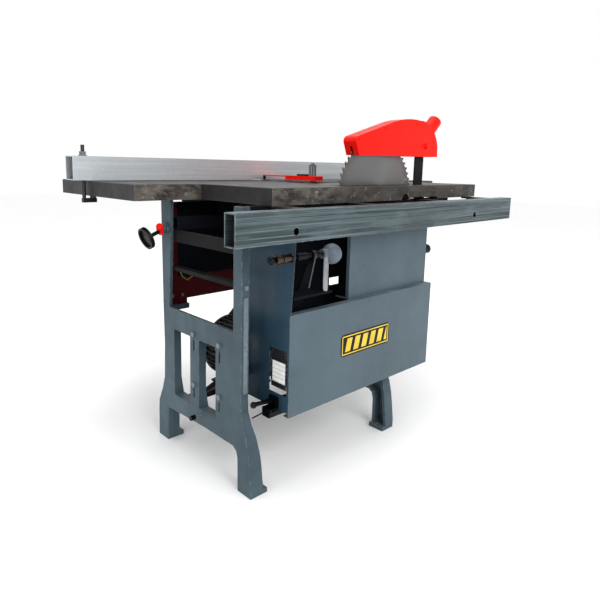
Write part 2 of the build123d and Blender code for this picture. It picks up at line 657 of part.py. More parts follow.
def guard_half(y, inner_y):
    face = guard_outline()
    shell = extrude(Plane.XZ.offset(-y[1]) * face, y[1] - y[0])
    inner = offset(face, amount=-GUARD_SHEET, kind=Kind.INTERSECTION)
    hollow = extrude(Plane.XZ.offset(-inner_y[1]) * inner, inner_y[1] - inner_y[0])
    open_below = block((480, 968), inner_y, (940, 976))
    return shell - hollow - open_below


def spout_line(t):
    start = Vector(948, 55, 1052)
    way = Vector(math.cos(math.radians(43)), 0, math.sin(math.radians(43)))
    return tuple(start + way * t)


def pivot_rod(start, end, radius):
    x, z = PIVOT
    return rod((x, start, z), (x, end, z), radius)


def make_guard():
    near, far = GUARD_Y
    front = guard_half((near, BLADE_Y), (near + GUARD_SHEET, BLADE_Y))
    rear = guard_half((BLADE_Y, far), (BLADE_Y, far - GUARD_SHEET))
    cut = rod(spout_line(-6), spout_line(60), SPOUT_R)
    pivot = pivot_rod(near - 1, far + 1, PIVOT_R + BORE_GAP)
    add("guard_front_half", front - cut - pivot)
    add("guard_rear_half", rear - cut - pivot)
    spout = rod(spout_line(-4), spout_line(52), SPOUT_R) - rod(spout_line(-5), spout_line(53), SPOUT_R - 2)
    inside = extrude(Plane.XZ.offset(-far - 5) * guard_outline(), far - near + 10)
    spout -= inside & block((900, 1000), (near - 5, far + 5), (940, 1020))
    add("dust_spout", spout)
    screws = []
    for x, z in ((511, 998), (650, 1042), (834, 1066), (945, 1008)):
        screws.append(rod((x, near, z), (x, near - 2, z), 5))
        screws.append(rod((x, far, z), (x, far + 2, z), 5))
    add("guard_screws", *screws)


def make_splitter():
    y = (BLADE_Y - 3, BLADE_Y + 3)
    bar = plate_y([(868, 806), (920, 806), (920, 1004), (880, 1004), (868, 970)], y)
    bar -= pivot_rod(y[0] - 1, y[1] + 1, PIVOT_R + BORE_GAP)
    near, far = GUARD_Y[0] - PIVOT_HEAD, GUARD_Y[1] + PIVOT_HEAD
    x, z = PIVOT
    pivot = pivot_rod(near, far, PIVOT_R)
    pivot += hexagon((x, near, z), (x, GUARD_Y[0] - HEAD_GAP, z), 14)
    pivot += hexagon((x, GUARD_Y[1] + HEAD_GAP, z), (x, far, z), 14)
    add("splitter", bar, pivot)
    clamp = block((866, 922), (BLADE_Y + 3, BLADE_Y + 20), (800, TABLE_TOP - SKIN))
    clamp += block((866, 922), (BLADE_Y - 14, BLADE_Y - 3), (800, TABLE_TOP - SKIN))
    add("splitter_clamp", *clamp.solids())


# ---------------------------------------------------------------- height adjuster at the left frame

WHEEL_TILT = math.radians(22)
WHEEL_START = Vector(0, 370, 712)


def wheel_point(t):
    return tuple(WHEEL_START + Vector(-math.cos(WHEEL_TILT), 0, -math.sin(WHEEL_TILT)) * t)


def make_handwheel():
    clear = rod(wheel_point(-20), wheel_point(32), 6 + BORE_GAP)
    boss = rod(wheel_point(-8), wheel_point(16), 12) & block((-30, 0), (340, 400), (680, 740))
    boss += rod((0, 370, 712), (-6, 370, 712), 18)
    add("handwheel_boss", boss - clear)
    shaft = rod(wheel_point(-10), wheel_point(74), 6)
    rim = rod(wheel_point(68), wheel_point(80), 35) - rod(wheel_point(72), wheel_point(81), 29)
    rim += rod(wheel_point(70), wheel_point(73), 30) - rod(wheel_point(60), wheel_point(74), 6)
    hub = rod(wheel_point(60), wheel_point(74), 13)
    add("handwheel", shaft, rim + hub - rod(wheel_point(50), wheel_point(74), 6))
    ring = rod(wheel_point(18), wheel_point(28), 13) - clear
    root = tuple(Vector(*wheel_point(23)) + Vector(0, -10, 2))
    ball_at = (-38, 344, 720)
    way = (Vector(*ball_at) - Vector(*root)).normalized()
    stem = rod(root, tuple(Vector(*ball_at) - way * 11 * BALL_REACH), 3.5)
    add("lock_lever", ring + stem, ball(ball_at, tuple(way), 11))


# ---------------------------------------------------------------- planer guard

def make_planer_guard():
    """A bridge over the cutter block, carried on three pins at the rear of the saw table."""
    top = TABLE_TOP
    x, y = BRIDGE_AT
    pins = [(x + dx, h) for dx, h in ((-14, 66), (0, 62), (14, 66))]
    stand = block((x - 22, x + 22), (y - 14, y + 14), (top, top + 6))
    for pin_x, h in pins:
        stand += rod((pin_x, y, top + 6), (pin_x, y, top + h), 4)
    add("guard_stand", stand)
    arm = block((x - 20, x + 20), (250, 408), (top + 9, top + 25))
    arm += block((x + 20, x + 105), (330, 430), (top + 15, top + 19))
    arm += block((x + 20, x + 105), (420, 582), (top + 19, top + 23))
    for pin_x, h in pins:
        arm -= rod((pin_x, y, top), (pin_x, y, top + h), 4 + BORE_GAP)
    add("bridge_guard", arm)
    add("guard_knob", rod((x, y, top + 62), (x, y, top + 72), 6))
    handle = block((x - 13, x + 13), (305, 352), (top + 25, top + 31))
    foot = block((x + 20, x + 28), (574, 582), (top + 4, top + 19))
    add("guard_rests", handle, foot)


# ---------------------------------------------------------------- wiring

def make_wire():
    """Earth wire looped from the left end frame to the rear panel."""
    path = FilletPolyline((WALL + SHEET, 389, 572), (56, 389, 572), (68, 386, 546), (84, 383, 532),
                          (102, 381, 542), (109, 383, 558), (109, 396, 562), radius=6)
    plane = Plane(origin=path @ 0, z_dir=path % 0)
    wire = sweep(plane * Circle(2.2), path=path)
    add("earth_wire", wire & block((WALL + SHEET, 200), (300, 396), (500, 600)))


def make_all():
    for make in (make_end_frames, make_fasteners, make_stretchers, make_tension_rod, make_bed,
                 make_cross_bars, make_rear_panel, make_inner_sheets, make_side_sheet,
                 make_front_panel, make_cover, make_saw_table, make_table_insert,
                 make_planer_tables, make_blade, make_arbor, make_cutter_block,
                 make_bearings, make_motor, make_belts, make_switch_box, make_spindle, make_rail,
                 make_fence, make_clamps, make_guard, make_splitter, make_handwheel,
                 make_planer_guard, make_wire):
        make()


def main():
    make_all()
    os.makedirs("parts", exist_ok=True)
    for name, solids in NODES.items():
        whole = solids[0] if len(solids) == 1 else Compound(solids)
        export_step(Pos(-ARBOR_X, -MIDDLE_Y, 0) * whole, f"parts/{name}.step")


main()
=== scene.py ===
import math

import bpy
import bmesh
from mathutils import Matrix, Vector


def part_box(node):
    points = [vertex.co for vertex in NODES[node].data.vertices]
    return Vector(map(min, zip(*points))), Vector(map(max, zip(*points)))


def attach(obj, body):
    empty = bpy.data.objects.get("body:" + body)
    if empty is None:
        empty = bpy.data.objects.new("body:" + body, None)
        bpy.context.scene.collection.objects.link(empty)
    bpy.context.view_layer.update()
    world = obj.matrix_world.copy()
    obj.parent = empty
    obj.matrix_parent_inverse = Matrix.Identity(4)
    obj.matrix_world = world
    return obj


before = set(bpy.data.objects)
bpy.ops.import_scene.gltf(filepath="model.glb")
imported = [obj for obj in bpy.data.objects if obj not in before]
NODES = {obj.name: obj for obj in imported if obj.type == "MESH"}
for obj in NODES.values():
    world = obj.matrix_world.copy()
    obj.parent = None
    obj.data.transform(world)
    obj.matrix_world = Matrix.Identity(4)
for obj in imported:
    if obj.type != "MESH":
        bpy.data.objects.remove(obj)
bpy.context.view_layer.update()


# ------------------------------------------------------------------ measures from the frame

def low(node):
    return Vector(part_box(node)[0])


def high(node):
    return Vector(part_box(node)[1])


def middle(node):
    return (low(node) + high(node)) / 2


# ------------------------------------------------------------------ camera

CAMERA_AT = (-1.4985, -1.4229, 0.9065)
YAW = math.radians(41.9)
PITCH = math.radians(-9.2)
ROLL = math.radians(1.0)
LENS = 31.8
SENSOR = 36.0
SHIFT = (0.0495, -0.0792)
FAR = 60


def make_camera():
    """Stands at the front left, a little above the tables, as a person would look at it."""
    data = bpy.data.cameras.new("view")
    data.sensor_width = SENSOR
    data.lens = LENS
    data.shift_x, data.shift_y = SHIFT
    data.clip_end = FAR
    camera = bpy.data.objects.new("view", data)
    bpy.context.scene.collection.objects.link(camera)
    turn = Matrix.Rotation(-YAW, 4, "Z") @ Matrix.Rotation(math.pi / 2 + PITCH, 4, "X")
    camera.matrix_world = Matrix.Translation(CAMERA_AT) @ turn @ Matrix.Rotation(ROLL, 4, "Z")
    bpy.context.scene.camera = camera


make_camera()


# ------------------------------------------------------------------ material tools

class Shade:
    """Builds one procedural material on a Principled shader, in the row frame's metres."""

    def __init__(self, name, metal=0.0, rough=0.5, coat=0.0, shine=0.5):
        self.material = bpy.data.materials.new(name)
        self.material.use_nodes = True
        self.tree = self.material.node_tree
        self.shader = self.tree.nodes["Principled BSDF"]
        self.shader.inputs["Metallic"].default_value = metal
        self.shader.inputs["Roughness"].default_value = rough
        self.shader.inputs["Coat Weight"].default_value = coat
        self.shader.inputs["Specular IOR Level"].default_value = shine
        self.shader.inputs["Coat Roughness"].default_value = 0.12
        self.place = self.add("ShaderNodeTexCoord").outputs["Object"]
        self.height = None

    def add(self, kind, **settings):
        node = self.tree.nodes.new(kind)
        for key, value in settings.items():
            setattr(node, key, value)
        return node

    def feed(self, socket, value):
        if hasattr(value, "links"):
            self.tree.links.new(value, socket)
        else:
            socket.default_value = value

    def stretched(self, scale):
        """Object coordinates scaled along each axis."""
        node = self.add("ShaderNodeMapping")
        self.feed(node.inputs["Vector"], self.place)
        node.inputs["Scale"].default_value = scale
        return node.outputs["Vector"]

    def noise(self, scale, detail=4.0, rough=0.6, vector=None, warp=0.0):
        node = self.add("ShaderNodeTexNoise")
        self.feed(node.inputs["Vector"], vector or self.place)
        node.inputs["Scale"].default_value = scale
        node.inputs["Detail"].default_value = detail
        node.inputs["Roughness"].default_value = rough
        node.inputs["Distortion"].default_value = warp
        return node.outputs["Fac"]

    def cell_colours(self, scale):
        node = self.add("ShaderNodeTexVoronoi", feature="F1")
        self.feed(node.inputs["Vector"], self.place)
        node.inputs["Scale"].default_value = scale
        return node.outputs["Color"]

    def remap(self, value, start, end, low=0.0, high=1.0):
        node = self.add("ShaderNodeMapRange", clamp=True)
        self.feed(node.inputs["Value"], value)
        limits = (("From Min", start), ("From Max", end), ("To Min", low), ("To Max", high))
        for key, number in limits:
            node.inputs[key].default_value = number
        return node.outputs["Result"]

    def sum(self, operation, a, b):
        node = self.add("ShaderNodeMath", operation=operation)
        self.feed(node.inputs[0], a)
        self.feed(node.inputs[1], b)
        return node.outputs[0]

    def mix(self, factor, a, b):
        node = self.add("ShaderNodeMix", data_type="RGBA")
        self.feed(node.inputs["Factor"], factor)
        self.feed(node.inputs["A"], a if hasattr(a, "links") else (*a, 1.0))
        self.feed(node.inputs["B"], b if hasattr(b, "links") else (*b, 1.0))
        return node.outputs["Result"]

    def edges(self, radius):
        """1 on sharp edges, 0 on flat faces."""
        bevel = self.add("ShaderNodeBevel", samples=4)
        bevel.inputs["Radius"].default_value = radius
        plain = self.add("ShaderNodeNewGeometry")
        dot = self.add("ShaderNodeVectorMath", operation="DOT_PRODUCT")
        self.feed(dot.inputs[0], bevel.outputs["Normal"])
        self.feed(dot.inputs[1], plain.outputs["Normal"])
        return self.remap(dot.outputs["Value"], 0.99, 0.86)

    def facing(self, axis, start, end):
        """0 to 1 as the surface's normal turns from start to end along an axis."""
        plain = self.add("ShaderNodeNewGeometry")
        parts = self.add("ShaderNodeSeparateXYZ")
        self.feed(parts.inputs[0], plain.outputs["Normal"])
        return self.remap(parts.outputs[axis], start, end)

    def facing_up(self):
        return self.facing("Z", 0.75, 0.95)

    def along(self, axis):
        parts = self.add("ShaderNodeSeparateXYZ")
        self.feed(parts.inputs[0], self.place)
        return parts.outputs[axis]

    def colour(self, value):
        value = value if hasattr(value, "links") else (*value, 1.0)
        self.feed(self.shader.inputs["Base Color"], value)

    def rough(self, value):
        self.feed(self.shader.inputs["Roughness"], value)

    def metal(self, value):
        self.feed(self.shader.inputs["Metallic"], value)

    def bump(self, height, distance, strength=0.4):
        node = self.add("ShaderNodeBump")
        node.inputs["Strength"].default_value = strength
        node.inputs["Distance"].default_value = distance
        self.feed(node.inputs["Height"], height)
        if self.height is not None:
            self.feed(node.inputs["Normal"], self.height)
        self.height = node.outputs["Normal"]
        self.feed(self.shader.inputs["Normal"], self.height)


# ------------------------------------------------------------------ materials

def enamel(name, base, worn=(0.32, 0.31, 0.29), rough=0.38, peel=0.25, chips=0.75, dirt=0.35,
           dusty=0.3, shine=0.18):
    """Sprayed enamel: uneven colour, orange peel, dust in the flats and chipped edges."""
    s = Shade(name, rough=rough, shine=shine)
    darker = tuple(c * 0.78 for c in base)
    lighter = tuple(min(1.0, c * 1.16 + 0.004) for c in base)
    tone = s.mix(s.remap(s.noise(3.5, 5), 0.3, 0.7), darker, lighter)
    tone = s.mix(s.remap(s.noise(45, 3), 0.35, 0.75, 0.0, 0.35), tone, lighter)
    streaks = s.noise(1.0, 6, 0.7, s.stretched((38, 38, 2.2)))
    grime = s.sum("MULTIPLY", s.remap(streaks, 0.52, 0.78), dirt)
    tone = s.mix(grime, tone, tuple(c * 0.45 for c in base))
    dust = s.sum("MULTIPLY", s.facing_up(), s.remap(s.noise(9, 5), 0.35, 0.75, 0.0, dusty))
    tone = s.mix(dust, tone, (0.42, 0.40, 0.37))
    chip = s.sum("MULTIPLY", s.edges(0.0022), s.remap(s.noise(60, 4, 0.7), 0.50, 0.60))
    chip = s.sum("MULTIPLY", chip, chips)
    s.colour(s.mix(chip, tone, worn))
    patches = s.remap(s.noise(30, 4), 0.3, 0.8, rough - 0.07, rough + 0.12)
    s.rough(s.sum("ADD", patches, s.sum("MULTIPLY", dust, 0.3)))
    s.bump(s.noise(420, 2), 0.0004, peel)
    s.bump(s.sum("SUBTRACT", 1.0, chip), 0.0005, 0.5)
    return s.material


CASTING_ROUGH = 0.45


def casting(name, base):
    """Paint over rough cast iron."""
    s = Shade(name, rough=CASTING_ROUGH, shine=0.22)
    darker = tuple(c * 0.74 for c in base)
    lighter = tuple(min(1.0, c * 1.2 + 0.004) for c in base)
    tone = s.mix(s.remap(s.noise(4, 6, 0.65), 0.32, 0.68), darker, lighter)
    rub = s.remap(s.noise(1.0, 5, 0.7, s.stretched((26, 26, 3))), 0.55, 0.8, 0.0, 0.4)
    tone = s.mix(rub, tone, tuple(c * 0.5 for c in base))
    dust = s.sum("MULTIPLY", s.facing_up(), s.remap(s.noise(12, 5), 0.3, 0.75, 0.0, 0.25))
    tone = s.mix(dust, tone, (0.40, 0.38, 0.35))
    chip = s.sum("MULTIPLY", s.edges(0.003), s.remap(s.noise(55, 4, 0.75), 0.5, 0.62, 0.0, 0.8))
    s.colour(s.mix(chip, tone, (0.34, 0.33, 0.31)))
    s.rough(s.remap(s.noise(25, 4), 0.3, 0.8, CASTING_ROUGH - 0.08, CASTING_ROUGH + 0.14))
    s.bump(s.noise(150, 4, 0.65), 0.0009, 0.35)
    s.bump(s.noise(26, 3), 0.0018, 0.25)
    return s.material


def table_iron(name):
    """Ground iron on top; end faces painted dark as painted shade and the front painted lighter as
    painted light, with pale smears strongest at the left end and pale flecks.
    """
    s = Shade(name, metal=0.25, rough=0.42, shine=0.22)
    start = low("saw_table").x
    up = s.facing_up()
    front = s.facing("Y", -0.75, -0.95)
    grind = s.noise(1.0, 4, 0.6, s.stretched((3, 260, 3)))
    stain = s.remap(s.noise(5.5, 7, 0.68, warp=0.6), 0.34, 0.7)
    plate = s.mix(stain, (0.012, 0.010, 0.010), (0.045, 0.038, 0.037))
    plate = s.mix(s.remap(grind, 0.35, 0.7, 0.0, 0.35), plate, (0.11, 0.10, 0.098))
    mottle = s.remap(s.noise(11, 8, 0.75, warp=0.4), 0.3, 0.72)
    # Painted shade: every face except the top and the front gets this dark colour. The front face
    # below gets a lighter colour, which is painted light.
    shaded_ends = s.mix(mottle, (0.012, 0.012, 0.014), (0.034, 0.033, 0.035))
    face = s.mix(mottle, (0.014, 0.012, 0.011), (0.070, 0.060, 0.054))
    # Pale smears on the front, full strength at the left end and fading to a quarter by half a metre
    # along X.
    smear = s.remap(s.noise(1.0, 6, 0.7, s.stretched((14, 14, 30))), 0.45, 0.70, 0.0, 0.8)
    worn = s.sum("MULTIPLY", smear, s.remap(s.along("X"), start, start + 0.5, 1.0, 0.25))
    face = s.mix(worn, face, (0.22, 0.20, 0.17))
    fleck = s.remap(s.noise(70, 6, 0.72, warp=0.5), 0.60, 0.68, 0.0, 0.6)
    face = s.mix(fleck, face, (0.42, 0.40, 0.36))
    # Uses the lighter painted-light colour on front faces and the darker painted-shade colour on all
    # other walls.
    wall = s.mix(front, shaded_ends, face)
    rust = s.remap(s.noise(23, 6, 0.7), 0.62, 0.76, 0.0, 0.4)
    wall = s.mix(rust, wall, (0.12, 0.055, 0.030))
    tone = s.mix(up, wall, plate)
    edge = s.sum("MULTIPLY", s.edges(0.0014), s.remap(s.noise(30, 3), 0.3, 0.7, 0.1, 0.6))
    s.colour(s.mix(edge, tone, (0.36, 0.34, 0.32)))
    s.rough(s.remap(s.noise(16, 6, 0.7), 0.25, 0.8, 0.34, 0.62))
    s.bump(grind, 0.0003, 0.25)
    s.bump(s.noise(90, 5, 0.7), 0.0008, 0.30)
    return s.material


SPANGLE_SCALE = 90


def galvanised(name, base, streak, dark, pale, rough):
    """Drawn steel tube with zinc spangle, long die marks and handling streaks."""
    s = Shade(name, metal=0.7, rough=rough)
    grey = s.add("ShaderNodeRGBToBW")
    s.feed(grey.inputs[0], s.cell_colours(SPANGLE_SCALE))
    tone = s.mix(s.remap(grey.outputs[0], 0.2, 0.8, 0.0, 0.25), tuple(c * 0.92 for c in base),
                 tuple(min(1, c * 1.1) for c in base))
    lines = s.noise(1.0, 8, 0.72, s.stretched(streak))
    tone = s.mix(s.remap(lines, 0.44, 0.60, 0.0, dark), tone, tuple(c * 0.30 for c in base))
    fine = s.noise(1.0, 5, 0.7, s.stretched(tuple(v * 2.6 for v in streak)))
    tone = s.mix(s.remap(fine, 0.52, 0.66, 0.0, pale), tone, tuple(min(1, c * 2.1) for c in base))
    cloud = s.noise(1.0, 4, 0.6, s.stretched((5, 22, 22)))
    tone = s.mix(s.remap(cloud, 0.50, 0.75, 0.0, pale), tone, tuple(min(1, c * 1.6) for c in base))
    rub = s.sum("MULTIPLY", s.edges(0.0014), s.remap(s.noise(40, 3), 0.35, 0.65, 0.1, 0.8))
    s.colour(s.mix(rub, tone, (0.75, 0.77, 0.78)))
    s.rough(s.remap(lines, 0.3, 0.75, rough - 0.08, rough + 0.2))
    s.bump(lines, 0.0004, 0.3)
    s.bump(s.noise(200, 3), 0.0002, 0.2)
    return s.material


def plain_metal(name, base, rough=0.3, grain=(300, 300, 300), spots=0.25, metal=1.0):
    """Turned, drawn or plated metal with fine grain, stains and a painted highlight lightening every
    sharp edge.
    """
    s = Shade(name, metal=metal, rough=rough)
    lines = s.noise(1.0, 4, 0.6, s.stretched(grain))
    darker = tuple(c * 0.78 for c in base)
    lighter = tuple(min(1, c * 1.12) for c in base)
    tone = s.mix(s.remap(lines, 0.3, 0.7), darker, lighter)
    stain = s.remap(s.noise(28, 6, 0.7), 0.5, 0.72, 0.0, spots)
    tone = s.mix(stain, tone, tuple(c * v for c, v in zip(base, (0.42, 0.36, 0.30))))
    # Painted highlight: every sharp edge is lightened by the same amount.
    edge_highlight = s.sum("MULTIPLY", s.edges(0.0012), 0.6)
    s.colour(s.mix(edge_highlight, tone, tuple(min(1, c * 1.3) for c in base)))
    s.rough(s.remap(s.noise(50, 4), 0.25, 0.8, rough - 0.08, rough + 0.15))
    s.bump(lines, 0.0002, 0.3)
    return s.material


def blade_steel(name, centre, radius):
    """Bright disc ground in rings, stained by resin towards the teeth."""
    s = Shade(name, metal=1.0, rough=0.3)
    shift = s.add("ShaderNodeVectorMath", operation="SUBTRACT")
    s.feed(shift.inputs[0], s.place)
    shift.inputs[1].default_value = centre
    flat = s.add("ShaderNodeVectorMath", operation="MULTIPLY")
    s.feed(flat.inputs[0], shift.outputs[0])
    flat.inputs[1].default_value = (1, 0, 1)
    size = s.add("ShaderNodeVectorMath", operation="LENGTH")
    s.feed(size.inputs[0], flat.outputs[0])
    out = size.outputs["Value"]
    spread = s.add("ShaderNodeCombineXYZ")
    s.feed(spread.inputs[0], s.sum("MULTIPLY", out, 900.0))
    rings = s.noise(1.0, 5, 0.7, spread.outputs[0])
    tone = s.mix(s.remap(rings, 0.3, 0.7), (0.09, 0.088, 0.088), (0.27, 0.27, 0.275))
    film = s.remap(s.noise(7, 5, 0.6, warp=0.8), 0.42, 0.68, 0.0, 0.6)
    tone = s.mix(film, tone, (0.20, 0.165, 0.155))
    outer = s.remap(out, radius * 0.80, radius * 0.97)
    resin = s.sum("MULTIPLY", outer, s.remap(s.noise(40, 5), 0.35, 0.7, 0.1, 0.8))
    s.colour(s.mix(resin, tone, (0.09, 0.075, 0.065)))
    s.rough(s.remap(rings, 0.25, 0.75, 0.24, 0.42))
    turn = s.add("ShaderNodeTangent", direction_type="RADIAL", axis="Y")
    s.feed(s.shader.inputs["Tangent"], turn.outputs[0])
    s.shader.inputs["Anisotropic"].default_value = 0.75
    s.bump(rings, 0.00010, 0.3)
    return s.material


MOULD_GRAIN = 260


def moulded(name, base, rough, coat=0.2, shine=0.5):
    """Moulded plastic with a fine grain and a few scuffs."""
    s = Shade(name, rough=rough, coat=coat, shine=shine)
    darker = tuple(c * 0.8 for c in base)
    lighter = tuple(c * 1.25 + 0.003 for c in base)
    tone = s.mix(s.remap(s.noise(14, 4), 0.3, 0.7), darker, lighter)
    scuff = s.remap(s.noise(1.0, 6, 0.75, s.stretched((90, 240, 90))), 0.60, 0.72, 0.0, 0.3)
    s.colour(s.mix(scuff, tone, tuple(min(1, c * 1.6 + 0.03) for c in base)))
    s.rough(s.remap(s.noise(35, 4), 0.3, 0.8, rough - 0.05, rough + 0.18))
    s.bump(s.noise(MOULD_GRAIN, 3), 0.0003, 0.35)
    return s.material


def rubber(name):
    s = Shade(name, rough=0.72)
    tone = s.mix(s.remap(s.noise(35, 5), 0.3, 0.7), (0.012, 0.012, 0.013), (0.04, 0.039, 0.038))
    dust = s.remap(s.noise(15, 6, 0.7), 0.5, 0.75, 0.0, 0.35)
    s.colour(s.mix(dust, tone, (0.22, 0.20, 0.17)))
    s.rough(s.remap(s.noise(60, 3), 0.3, 0.7, 0.6, 0.85))
    s.bump(s.noise(500, 2), 0.0003, 0.4)
    return s.material


BORDER = (0.004, 0.0075)
BAR_FIELD = 0.013
BAR_PITCH = 0.019
BAR_SLANT = 0.25
SOFT_LINE = 0.0004


def striped_plate(name):
    """A black plate with a thin yellow border line and slanted yellow bars, no lettering."""
    s = Shade(name, rough=0.32, shine=0.12)
    start, end = low("badge_plate"), high("badge_plate")

    def within(inset):
        inside = 1.0
        for axis in ("X", "Z"):
            a = getattr(start, axis.lower()) + inset
            b = getattr(end, axis.lower()) - inset
            inside = s.sum("MULTIPLY", inside, s.remap(s.along(axis), a, a + SOFT_LINE))
            inside = s.sum("MULTIPLY", inside, s.remap(s.along(axis), b, b - SOFT_LINE))
        return inside

    line = s.sum("SUBTRACT", within(BORDER[0]), within(BORDER[1]))
    slant = s.sum("SUBTRACT", s.along("X"), s.sum("MULTIPLY", s.along("Z"), BAR_SLANT))
    bars = s.remap(s.sum("PINGPONG", slant, BAR_PITCH), 0.0070, 0.0074)
    bars = s.sum("MULTIPLY", bars, within(BAR_FIELD))
    marks = s.sum("MAXIMUM", line, bars)
    yellow = s.mix(s.remap(s.noise(18, 4), 0.3, 0.7), (0.56, 0.38, 0.03), (0.74, 0.56, 0.06))
    black = s.mix(s.remap(s.noise(30, 4), 0.3, 0.7), (0.003, 0.003, 0.003), (0.007, 0.007, 0.007))
    s.colour(s.mix(marks, black, yellow))
    s.rough(s.remap(s.noise(60, 4), 0.3, 0.8, 0.26, 0.5))
    s.bump(marks, 0.0003, 0.4)
    return s.material


def blank_plate(name):
    """A pale data plate with plain ruled bands and no lettering."""
    s = Shade(name, rough=0.35, coat=0.2)
    rows = s.remap(s.sum("PINGPONG", s.along("Z"), 0.006), 0.0046, 0.0050)
    paper = s.mix(s.remap(s.noise(60, 4), 0.3, 0.7), (0.66, 0.67, 0.66), (0.82, 0.83, 0.81))
    s.colour(s.mix(s.sum("MULTIPLY", rows, 0.5), paper, (0.25, 0.27, 0.29)))
    s.rough(s.remap(s.noise(80, 3), 0.3, 0.8, 0.3, 0.5))
    s.bump(s.noise(300, 2), 0.0002, 0.2)
    return s.material


BLADE_AT = middle("saw_blade")
BLADE_RADIUS = (high("saw_blade").z - low("saw_blade").z) / 2
SLATE = (0.060, 0.090, 0.110)
RED = (0.86, 0.006, 0.001)
ZINC = plain_metal("zinc", (0.20, 0.205, 0.21), 0.30)
CHROME = plain_metal("chromed_steel", (0.26, 0.27, 0.29), 0.12, (260, 260, 12), 0.35)
DARK_STEEL = plain_metal("dark_steel", (0.055, 0.054, 0.056), 0.40, (200, 200, 200), 0.5)
BLACKENED = plain_metal("blackened_steel", (0.014, 0.015, 0.018), 0.34, (200, 200, 200), 0.3)
PAINTED_BOLT = plain_metal("painted_bolts", (0.16, 0.20, 0.22), 0.42, (120, 120, 120), 0.3, 0.4)
FRAME_PAINT = casting("frame_paint", (0.048, 0.078, 0.098))
PANEL_PAINT = enamel("panel_paint", SLATE, peel=0.15, chips=0.5, dirt=0.15)
# Painted shade: a much darker copy of the slate panel paint, for the left-facing side sheet, which
# stands in shade under the table.
SHADED_SIDE_PAINT = enamel("side_sheet_painted_shade", (0.013, 0.036, 0.058), rough=0.34, peel=0.2, chips=0.4,
                    dirt=0.75, dusty=0.2, shine=0.2)
RED_PAINT = enamel("red_paint", RED, worn=(0.60, 0.10, 0.08), rough=0.34, chips=0.2, dirt=0.06,
                   dusty=0.01, shine=0.08)
# Painted shade: the rear panel's red paint darkened almost to black, for the shade inside the frame.
SHADED_RED_PAINT = enamel("red_paint_in_painted_shade", (0.062, 0.003, 0.005), rough=0.42, chips=0.3, dusty=0.1,
                  shine=0.12)
BLACK_PAINT = enamel("black_paint", (0.004, 0.004, 0.0045), worn=(0.06, 0.06, 0.06), rough=0.5,
                     chips=0.4, dusty=0.04, shine=0.08)
# Painted shade: near-black paint for the inner sheets, which are dark sheets put inside the cabinet
# where there is only shade, and for the beams and arms in there.
INTERIOR_SHADE_PAINT = enamel("interior_painted_shade", (0.0015, 0.0022, 0.0045), worn=(0.03, 0.035, 0.04), rough=0.6,
                    chips=0.4, dusty=0.01, shine=0.04)
IRON = table_iron("table_iron")
STEEL = plain_metal("ground_steel", (0.55, 0.55, 0.56), 0.30, (60, 400, 60))
BLADE = blade_steel("blade_steel", tuple(BLADE_AT), BLADE_RADIUS)
CARBIDE = plain_metal("carbide", (0.30, 0.29, 0.28), 0.30, (400, 400, 400), 0.2)
RAIL = galvanised("galvanised_rail", (0.080, 0.110, 0.120), (0.9, 110, 110), 0.95, 0.85, 0.36)
FENCE = galvanised("fence_metal", (0.50, 0.54, 0.56), (0.8, 45, 45), 0.10, 0.15, 0.42)
BRONZE = plain_metal("bronze", (0.075, 0.052, 0.036), 0.30, (500, 60, 60), 0.7)
LIGHT_CAST = casting("light_casting", (0.095, 0.12, 0.15))
MOTOR_PAINT = casting("motor_paint", (0.004, 0.005, 0.007))
BLACK_PLASTIC = moulded("black_plastic", (0.004, 0.004, 0.005), 0.34, coat=0.0, shine=0.12)
BELT = rubber("belt_rubber")
WIRE = moulded("earth_wire_cover", (0.13, 0.17, 0.03), 0.4)
PLATE = striped_plate("striped_plate")
DATA = blank_plate("data_plate_print")

FINISH = {
    "left_end_frame": FRAME_PAINT, "right_end_frame": FRAME_PAINT, "handwheel_boss": FRAME_PAINT,
    "bed_beams": INTERIOR_SHADE_PAINT, "infeed_arm": INTERIOR_SHADE_PAINT, "outfeed_arm": INTERIOR_SHADE_PAINT,
    "inner_sheets": INTERIOR_SHADE_PAINT, "tension_rod": BLACKENED, "left_side_sheet": SHADED_SIDE_PAINT,
    "front_panel": PANEL_PAINT, "upper_cover": PANEL_PAINT, "rear_panel": SHADED_RED_PAINT,
    "stretchers": BLACK_PAINT, "cross_bars": BLACK_PAINT, "front_bearing": BLACK_PAINT,
    "middle_bearing": BLACK_PAINT, "rear_bearing": BLACK_PAINT, "splitter": BLACK_PAINT,
    "splitter_clamp": BLACK_PAINT, "table_insert": BLACK_PAINT, "saw_table": IRON,
    "infeed_table": IRON, "outfeed_table": IRON, "saw_blade": BLADE, "planer_knives": STEEL,
    "blade_flanges": STEEL, "arbor_shaft": STEEL, "cutter_block": STEEL, "motor_rotor": STEEL,
    "motor_pulley": STEEL, "motor_body": MOTOR_PAINT, "switch_box": MOTOR_PAINT, "drive_belts": BELT,
    "adjusting_spindle": BLACKENED, "spindle_bush": BRONZE, "spindle_lever": DARK_STEEL,
    "cast_head": LIGHT_CAST, "guide_column": CHROME, "cover_knob": BLACK_PLASTIC, "front_rail": RAIL,
    "rail_brackets": DARK_STEEL, "fence_tube": FENCE, "left_clamp_hook": DARK_STEEL,
    "right_clamp_hook": DARK_STEEL, "left_clamp_nut": ZINC, "right_clamp_nut": ZINC,
    "guard_front_half": RED_PAINT, "guard_rear_half": RED_PAINT, "dust_spout": RED_PAINT,
    "guard_screws": RED_PAINT, "handwheel": BLACK_PLASTIC, "lock_lever": RED_PAINT,
    "guard_stand": ZINC, "bridge_guard": RED_PAINT, "guard_rests": BLACK_PLASTIC, "guard_knob": ZINC,
    "earth_wire": WIRE, "badge_plate": PLATE, "data_plate": DATA, "fasteners": PAINTED_BOLT,
}
